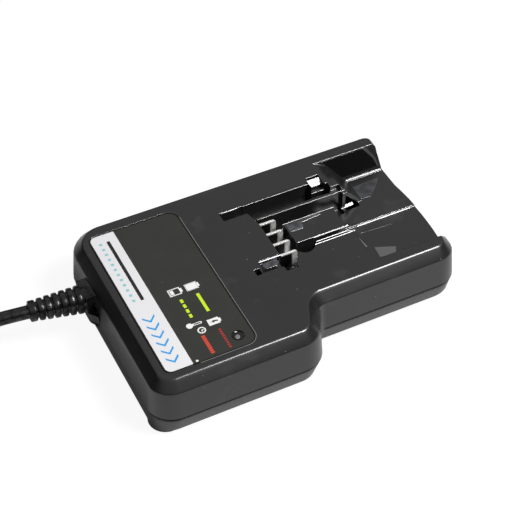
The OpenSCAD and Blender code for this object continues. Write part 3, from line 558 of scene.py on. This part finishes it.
# one finish for each slot of the record
FINISHES = {
    "housing_black": housing_plastic("housing_black", (0.011, 0.011, 0.0112), 0.29),
    "base_black": housing_plastic("base_black", (0.009, 0.009, 0.0092), 0.36, index=0.3),
    "panel_film": film(),
    "strip_white": strip_white(),
    "window_clear": clear_window(),
    "led_red": red_lens(),
    "contact_metal": contact_metal(),
    "block_black": plain_part("block_black", (0.010, 0.010, 0.011), 0.45),
    "board_green": board_green(),
    "ferrite": plain_part("ferrite", (0.030, 0.030, 0.033), 0.55, 0.3),
    "bobbin_tape": wound("bobbin_tape", (0.60, 0.38, 0.06), 0.35, "Z", 160),
    "capacitor_sleeve": plain_part("capacitor_sleeve", (0.012, 0.016, 0.06), 0.25, scale=300),
    "choke_winding": wound("choke_winding", (0.45, 0.15, 0.05), 0.3, "DIAGONAL", 220),
    "chip_black": plain_part("chip_black", (0.011, 0.011, 0.012), 0.5),
    "fuse_ceramic": plain_part("fuse_ceramic", (0.66, 0.63, 0.55), 0.3, scale=500),
    "sink_aluminium": steel("sink_aluminium", (0.62, 0.63, 0.65), 0.35),
    "small_parts_mixed": plain_part("small_parts_mixed", (0.32, 0.20, 0.09), 0.45, scale=600),
    "screw_steel": steel("screw_steel", (0.58, 0.58, 0.57), 0.3),
    "foot_rubber": rubber("foot_rubber", (0.012, 0.012, 0.012), 0.7),
    "wire_blue": rubber("wire_blue", (0.03, 0.07, 0.30), 0.4),
    "cord_black": rubber("cord_black", (0.003, 0.003, 0.003), 0.4, 0.08, shine=0.9),
    "tie_black": wound("tie_black", (0.012, 0.012, 0.012), 0.6, "Z", 500),
    "pin_nickel": steel("pin_nickel", (0.76, 0.75, 0.71), 0.15),
}

# ---------------------------------------------------------------- carried-over pieces
SHARP = math.radians(32)                          # an edge over this angle stays sharp
WELD = 0.002 * MM


def edge_softener():
    """Node group that welds a loaded mesh and keeps only its sharp edges sharp."""
    group = bpy.data.node_groups.new("soft_edges", "GeometryNodeTree")
    for direction in ("INPUT", "OUTPUT"):
        group.interface.new_socket("Geometry", in_out=direction,
                                   socket_type="NodeSocketGeometry")
    source = group.nodes.new("NodeGroupInput")
    weld = linked(group, "GeometryNodeMergeByDistance", {"Geometry": source.outputs[0],
                                                       "Distance": WELD})
    plain = linked(group, "GeometryNodeRemoveAttribute", {"Geometry": weld.outputs[0],
                                                        "Name": "custom_normal"})
    angle = group.nodes.new("GeometryNodeInputMeshEdgeAngle")
    sharp = linked(group, "FunctionNodeCompare", {0: angle.outputs[0], 1: SHARP},
                   operation="GREATER_THAN")
    faces = linked(group, "GeometryNodeSetShadeSmooth", {"Geometry": plain.outputs[0]},
                   domain="FACE")
    edges = linked(group, "GeometryNodeSetShadeSmooth",
                   {"Geometry": faces.outputs[0], "Selection": sharp.outputs[0],
                    "Shade Smooth": False}, domain="EDGE")
    target = group.nodes.new("NodeGroupOutput")
    group.links.new(edges.outputs[0], target.inputs[0])
    return group


SOFTENER = edge_softener()


def smooth_shading(piece):
    weld = piece.modifiers.new("soft_edges", "NODES")
    weld.node_group = SOFTENER
    weighted = piece.modifiers.new("weighted", "WEIGHTED_NORMAL")
    weighted.keep_sharp = True
    weighted.weight = 100


def finish_nodes():
    for part in frame["record"]["subparts"]:
        node = nodes[part["node"]]
        for slot in node.material_slots:
            slot.material = FINISHES[part["material_slot"]]
        smooth_shading(node)
    lead.data.materials.append(FINISHES["cord_black"])


finish_nodes()


def add_piece(name, mesh):
    """A piece that only the scene has, on the root body."""
    piece = bpy.data.objects.new(name, mesh)
    scene.collection.objects.link(piece)
    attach(piece, "root")
    return piece


# ---------------------------------------------------------------- fine moulded details, with painted highlights, light and shade
TOP, TONGUE_TOP, DECK_FAR, DECK_NEAR = BODY_H, 26.0, 17.8, 17.0
# the bay's far wall: its foot, its lean and rise up to the top, and the way it faces
WALL_FOOT, WALL_LEAN, WALL_RISE, WALL_OUT = 83.55, 5.8, 10.8, (-0.88, 0.47)
# height of a skin over its ground, and how deep rims and patches reach into the solid
SKIN_T, SUNK, PATCH_SUNK = 0.03, 0.3, 0.2
CRISP = 0.06 * MM
# lighter grey painted as highlight on moulded rims, fillets, slopes and ridges
RIM_HIGHLIGHT_PAINT = housing_plastic("rim_highlight_paint", (0.16, 0.16, 0.16), 0.22, round_off=CRISP)
# lighter grey painted as light: on a lit facet of the far wall and along a line on the deck
LIT_FACET_PAINT = housing_plastic("lit_facet_paint", (0.045, 0.045, 0.046), 0.35, round_off=CRISP)
SHADED = housing_plastic("shaded", (0.002, 0.002, 0.002), 0.6, index=0.05, round_off=CRISP)
# lighter grey painted as light on a lit patch of the near arm
LIT_PATCH_PAINT = housing_plastic("painted_light_facet", (0.085, 0.085, 0.086), 0.35, round_off=CRISP)
# pale mottled skin: real scuffs on the tongue, painted light on the pocket's lit floor
SCUFFS_AND_PAINTED_LIGHT = housing_plastic("scuffs_and_painted_light", (0.012, 0.012, 0.012), 0.30, worn=0.11)
RUBBED = housing_plastic("rubbed", (0.016, 0.016, 0.018), 0.30, worn=0.055)


def detail(name, loops, material):
    """Solid skin through loops of as many points each, closed at both ends."""
    mesh = bpy.data.meshes.new(name)
    n = len(loops[0])
    points = [at(*point) for loop in loops for point in loop]
    sides = [(k * n + i, k * n + (i + 1) % n, (k + 1) * n + (i + 1) % n, (k + 1) * n + i)
             for k in range(len(loops) - 1) for i in range(n)]
    first, last = range(n - 1, -1, -1), range(len(points) - n, len(points))
    mesh.from_pydata(points, [], sides + [tuple(first), tuple(last)])
    soup = bmesh.new()
    soup.from_mesh(mesh)
    bmesh.ops.recalc_face_normals(soup, faces=soup.faces)
    soup.to_mesh(mesh)
    soup.free()
    mesh.materials.append(material)
    smooth_shading(add_piece(name, mesh))


def slope(y, z, width, rise=0.69):
    """Section of a narrow slope that faces the near side, down into the solid under it."""
    return [(y, z), (y + width, z + rise * width), (y + width + 0.05, z - SUNK), (y, z - SUNK)]


def fillet(y, z, radius, lean, steps=8):
    """Section of a hollow corner between a floor and a wall that leans away from upright."""
    middle = y - radius / math.tan(math.radians(90 + lean) / 2)
    turns = [around(-90 + (90 - lean) * i / steps, radius) for i in range(steps + 1)]
    return [(middle + dy, z + radius + dz) for dy, dz in turns] + [(y + 0.3, z - 0.05)]


def across(section, x, dy=0):
    """Section of (y, z) points set up at one x."""
    return [(x, y + dy, z) for y, z in section]


def rim(name, section, start, end, bend=(0, 0), material=RIM_HIGHLIGHT_PAINT):
    """Section drawn along X, with its two ends moved in Y by the bend."""
    detail(name, [across(section, start, bend[0]), across(section, end, bend[1])], material)


def groove_lip(name, y, z, width, start, end, tip):
    """Slope along X that thins out to a tip (x, y, z)."""
    section, thin = slope(y, z, width), slope(tip[1], tip[2], 0.1)
    detail(name, [across(section, start), across(section, end), across(thin, tip[0])],
           RIM_HIGHLIGHT_PAINT)


def patch(name, outline, z, material, thick=SKIN_T):
    """Thin skin on level ground."""
    detail(name, [[(x, y, z + lift) for x, y in outline] for lift in (-PATCH_SUNK, thick)],
           material)


def wall_patch(name, outline, material):
    """Thin skin on the bay's far wall, through (x, t), with t from 0 at its foot to 1."""
    detail(name, [[(x, WALL_FOOT + WALL_LEAN * t + WALL_OUT[0] * lift,
                    DECK_FAR + WALL_RISE * t + WALL_OUT[1] * lift) for x, t in outline]
                  for lift in (-SUNK, SKIN_T)], material)


def add_details():
    rim("far_foot_fillet", fillet(83.4, DECK_FAR, 1.25, 28.2), 125.0, 144.0)
    rim("ramp_foot_fillet", slope(69.2, DECK_FAR, 1.0), 116.6, 122.4, (-0.5, -0.2))
    groove_lip("groove_lip_1", 45.0, TOP - 0.03, 0.28, 91.0, 108.2, (110.2, 45.3, TOP - 0.15))
    groove_lip("groove_lip_2", 46.5, TOP - 0.15, 0.24, 92.4, 106.0, (109.8, 45.6, TOP - 0.25))
    rim("tongue_rim", slope(63.75, TONGUE_TOP - 0.03, 0.16), 85.6, 109.6)
    rim("tongue_near_rim", slope(51.45, TONGUE_TOP - 0.3, 0.42), 93.6, 110.0)
    rim("deck_step_rim", slope(56.45, DECK_FAR - 0.3, 0.32), 117.6, 143.6)
    rim("notch_slope", [(78.6, 26.4), (81.2, 28.15), (81.3, 26.0), (78.6, 26.0)], 105.8, 112.4)
    ridge = [(-0.5, -0.05), (-0.2, 0.12), (0.2, 0.12), (0.5, -0.05)]
    detail("deck_ridge", [[(x + dx, y, DECK_NEAR + dz) for dx, dz in ridge]
                          for x, y in ((114.6, 52.6), (115.4, 44.6))], RIM_HIGHLIGHT_PAINT)
    # painted highlight: a thin light line along the deck
    rim("deck_highlight_line", slope(52.6, DECK_NEAR - 0.03, 0.09), 117.2, 132.0, (0, -0.7), LIT_FACET_PAINT)
    for k, (start, end) in enumerate(((64.9, 71.6), (76.2, 83.4), (94.4, 104.4))):
        rim("slot_rim_%d" % (k + 1), slope(78.85, TOP - 0.2, 0.3), start, end)
    rim("pocket_rim", slope(46.0, TOP - 0.05, 0.3), 65.8, 75.6)
    # painted light: the pocket's lit floor, as a pale mottled skin over the pocket
    patch("pocket_painted_light", [(66.8, 44.9), (72.8, 45.1), (73.4, 42.9), (71.9, 41.4), (67.2, 41.6),
                           (66.2, 43.5)], TOP, SCUFFS_AND_PAINTED_LIGHT, 0.02)
    patch("tongue_scuff", [(86.6, 58.5), (92.6, 58.3), (93.4, 61.6), (102.8, 62.4),
                           (102.8, 63.3), (86.6, 63.4)], TONGUE_TOP, SCUFFS_AND_PAINTED_LIGHT)
    patch("deck_scuff", [(127.2, 70.6), (131.6, 69.9), (137.4, 75.6), (140.4, 79.2),
                         (127.2, 78.6)], DECK_FAR, RUBBED, 0.02)
    # painted light: the lit start facet of the near arm
    patch("arm_painted_light", [(117.6, 36.9), (124.2, 35.0), (126.6, 39.4), (118.2, 42.9)], DECK_NEAR,
          LIT_PATCH_PAINT)
    wall_patch("far_wall_shade", [(125.2, 0.16), (142.8, 0.16), (141.4, 0.5), (137.2, 0.95),
                                  (117.0, 0.95)], SHADED)
    # painted light: the lit end facet of the far wall
    wall_patch("far_end_painted_light", [(142.9, 0.14), (143.5, 0.14), (142.6, 0.5), (139.2, 0.95),
                                 (137.4, 0.95), (141.5, 0.5)], LIT_FACET_PAINT)


add_details()

# ---------------------------------------------------------------- print, and painted light and shade on the label and window
PANEL_TOP = BODY_H - 0.1
STRIP_TOP = PANEL_TOP + 0.15
MARK_T = 0.03
PANEL_X0, PANEL_Y0, PANEL_X1, PANEL_Y1 = 8.4, 8.7, 47.4, 89.4
PANEL_R0, PANEL_R1 = 3, 4.5                       # corners at the cord end, and beside the bay
RIM_END = 22.5                                    # where the bright line along the panel stops
WINDOW_X, WINDOW_Y = 41.3, 14.6
# radii of the window's dome and of its crown, its height at the rim, and how both rise
DOME_R, CROWN_R, DOME_EDGE, DOME_RISE, CROWN_RISE = 2.5, 1.25, 0.1, 0.36, 0.12
NUB_H = 0.7                                       # of a battery sign
ARROW_T = 1.1
WHITE, LIME = (0.92, 0.92, 0.90), (0.60, 0.86, 0.02)
RED, DARK_RED = (0.68, 0.070, 0.035), (0.42, 0.030, 0.025)
SKY, CYAN, INK = (0.03, 0.35, 0.80), (0.30, 0.62, 0.68), (0.012, 0.012, 0.013)
# painted shade in the groove round the panel, and a painted highlight beside it
GAP_SHADE, RIM_LIGHT = (0.001, 0.001, 0.001), (0.22, 0.22, 0.21)
# painted highlight and painted grey reflection on the indicator window
GLINT, GREY_REFLECTION = (0.85, 0.85, 0.84), (0.20, 0.20, 0.20)


def arc(cx, cy, r, a0, a1, n):
    turns = [around(a0 + (a1 - a0) * i / n, r) for i in range(n + 1)]
    return [(cx + x, cy + y) for x, y in turns]


def circle(cx, cy, r, n):
    return arc(cx, cy, r, 0, 360, n)[:-1]


def round_box(x0, y0, x1, y1, r0, r1, n=4):
    """Rectangle with one radius at the corners of low X and one at those of high X."""
    return (arc(x0 + r0, y0 + r0, r0, 180, 270, n) + arc(x1 - r1, y0 + r1, r1, 270, 360, n)
            + arc(x1 - r1, y1 - r1, r1, 0, 90, n) + arc(x0 + r0, y1 - r0, r0, 90, 180, n))


def sign(cx, cy, loops):
    """Loops drawn upright, moved to a place on the label, where up is +X and right is -Y."""
    return [[(cx + up, cy - right) for right, up in loop] for loop in loops]


def print_and_painted_light(name, loops, top, color):
    """Flat ink for print, and flat colour for painted light and shade, in the shape of closed
    loops; a loop inside another is a hole.
    """
    curve = bpy.data.curves.new(name, "CURVE")
    curve.dimensions = "2D"
    curve.fill_mode = "BOTH"
    curve.extrude = MARK_T / 2 * MM
    for loop in loops:
        spline = curve.splines.new("POLY")
        spline.points.add(len(loop) - 1)
        for point, (x, y) in zip(spline.points, loop):
            point.co = (x * MM, y * MM, 0, 1)
        spline.use_cyclic_u = True
    drawing = bpy.data.objects.new(name, curve)
    mesh = bpy.data.meshes.new_from_object(drawing)
    mesh.name = name
    mesh.transform(Matrix.Translation(at(0, 0, top)))
    mesh.materials.clear()
    mesh.materials.append(ink_and_painted_light(name + "_flat_colour", color))
    add_piece(name, mesh)


def dashes(x, y0, y1, count, gap, width):
    """Row of bars along Y."""
    length = (y1 - y0 - gap * (count - 1)) / count
    starts = [y0 + i * (length + gap) for i in range(count)]
    return [round_box(x - width / 2, y, x + width / 2, y + length, 0.1, 0.1) for y in starts]


def battery(w, h, wall, level):
    """Battery sign of outer width and height, filled up to a level between 0 and 1."""
    half, nub, low, high = w / 2, w * 0.28, -h / 2, h / 2 - NUB_H
    outer = [(-half, low), (half, low), (half, high), (nub, high), (nub, h / 2),
             (-nub, h / 2), (-nub, high), (-half, high)]

    def inside(gap, level):
        x, bottom = half - gap, low + gap
        top = bottom + (high - gap - bottom) * level
        return [(-x, bottom), (x, bottom), (x, top), (-x, top)]

    return [outer, inside(wall, 1.0), inside(1.6 * wall, level)]


def thermometer():
    return [arc(0, -2.2, 1.35, 115, 425, 20) + [(0.62, 2.6), (0.3, 3.0), (-0.3, 3.0), (-0.62, 2.6)],
            [(-0.28, -0.4), (0.28, -0.4), (0.28, 2.5), (-0.28, 2.5)]]


def clock():
    return [circle(0, 0, 1.7, 28), circle(0, 0, 1.15, 24),
            [(-0.2, -0.2), (0.75, -0.2), (0.75, 0.15), (0.15, 0.15), (0.15, 0.85), (-0.2, 0.85)]]


def bolt(scale):
    shape = [(-0.1, 1.0), (0.28, 1.0), (0.08, 0.22), (0.42, 0.22), (-0.22, -1.0), (-0.02, -0.12),
             (-0.38, -0.12)]
    return [[(x * scale, y * scale) for x, y in shape]]


def chevrons(x0, x1, y0, y1, count):
    """Row of arrow heads that point to the near side."""
    half, middle = (x1 - x0) / 2, (x0 + x1) / 2
    starts = [y0 + i * (y1 - y0) / count for i in range(count)]
    return [[(middle, y), (x1, y + half), (x1, y + half + ARROW_T), (middle, y + ARROW_T),
             (x0, y + half + ARROW_T), (x0, y + half)] for y in starts]


def panel_loop(inset):
    """Outline of the label panel, moved inwards."""
    return round_box(PANEL_X0 + inset, PANEL_Y0 + inset, PANEL_X1 - inset, PANEL_Y1 - inset,
                     PANEL_R0 - inset, PANEL_R1 - inset, 8)


def rim_path(out):
    """Painted highlight line beside the panel, along its battery side and its near side."""
    return ([(PANEL_X1 + out, PANEL_Y1 - PANEL_R1)]
            + arc(PANEL_X1 - PANEL_R1, PANEL_Y0 + PANEL_R1, PANEL_R1 + out, 0, -90, 8)
            + [(RIM_END, PANEL_Y0 - out)])


def on_window(name, x, y, radius, color, n=20):
    """Round spot of painted light that lies on the dome of the indicator window."""
    points = []
    for px, py in [(x, y)] + circle(x, y, radius, n):
        out = math.hypot(px - WINDOW_X, py - WINDOW_Y)
        rise = (DOME_EDGE + DOME_RISE * (DOME_R - max(out, CROWN_R))
                + CROWN_RISE * max(0, CROWN_R - out))
        points.append(at(px, py, BODY_H + rise + MARK_T))
    mesh = bpy.data.meshes.new(name)
    mesh.from_pydata(points, [], [(0, i, i % n + 1) for i in range(1, n + 1)])
    mesh.materials.append(ink_and_painted_light(name + "_flat_colour", color))
    add_piece(name, mesh)


def add_print_and_painted_light():
    print_and_painted_light("signs_white",
            sign(36.2, 46.4, battery(3.9, 5.8, 0.2, 1.0))
            + sign(28.9, 46.4, battery(3.9, 5.8, 0.45, 0.4))
            + sign(28.6, 27.2, thermometer()) + sign(29.8, 23.2, clock())
            + sign(36.2, 25.4, battery(3.3, 5.4, 0.2, 1.0)[:1]) + sign(35.7, 25.4, bolt(1.9))
            + [circle(21.7, 9.8, 0.55, 16)], PANEL_TOP, WHITE)
    print_and_painted_light("bars_lime", [round_box(35.75, 31.2, 37.05, 41.8, 0.15, 0.15)]
            + dashes(29.1, 31.0, 41.6, 4, 0.9, 1.25), PANEL_TOP, LIME)
    print_and_painted_light("bar_red", dashes(28.9, 10.6, 20.5, 9, 0.22, 1.5), PANEL_TOP, RED)
    print_and_painted_light("bar_dark_red", dashes(36.2, 10.4, 20.9, 9, 0.4, 1.0), PANEL_TOP, DARK_RED)
    # painted shade in the groove round the panel
    print_and_painted_light("panel_gap_shade", [panel_loop(0.0), panel_loop(0.38)], PANEL_TOP, GAP_SHADE)
    # painted highlight along the rim beside the panel
    print_and_painted_light("panel_rim_highlight", [rim_path(0.32) + rim_path(0.56)[::-1]], BODY_H, RIM_LIGHT)
    # painted highlight and painted reflection on the window's dome
    on_window("window_glint", 41.0, 16.2, 0.5, GLINT)
    on_window("window_grey_reflection", 40.6, 13.5, 0.95, GREY_REFLECTION)
    print_and_painted_light("strip_arrows", chevrons(11.2, 16.4, 12.5, 40.0, 6), STRIP_TOP, SKY)
    print_and_painted_light("strip_line", [round_box(14.9, 48.0, 16.3, 84.5, 0.2, 0.2)], STRIP_TOP, INK)
    print_and_painted_light("strip_ticks", dashes(12.2, 48.5, 84.5, 12, 1.9, 1.3), STRIP_TOP, CYAN)


add_print_and_painted_light()
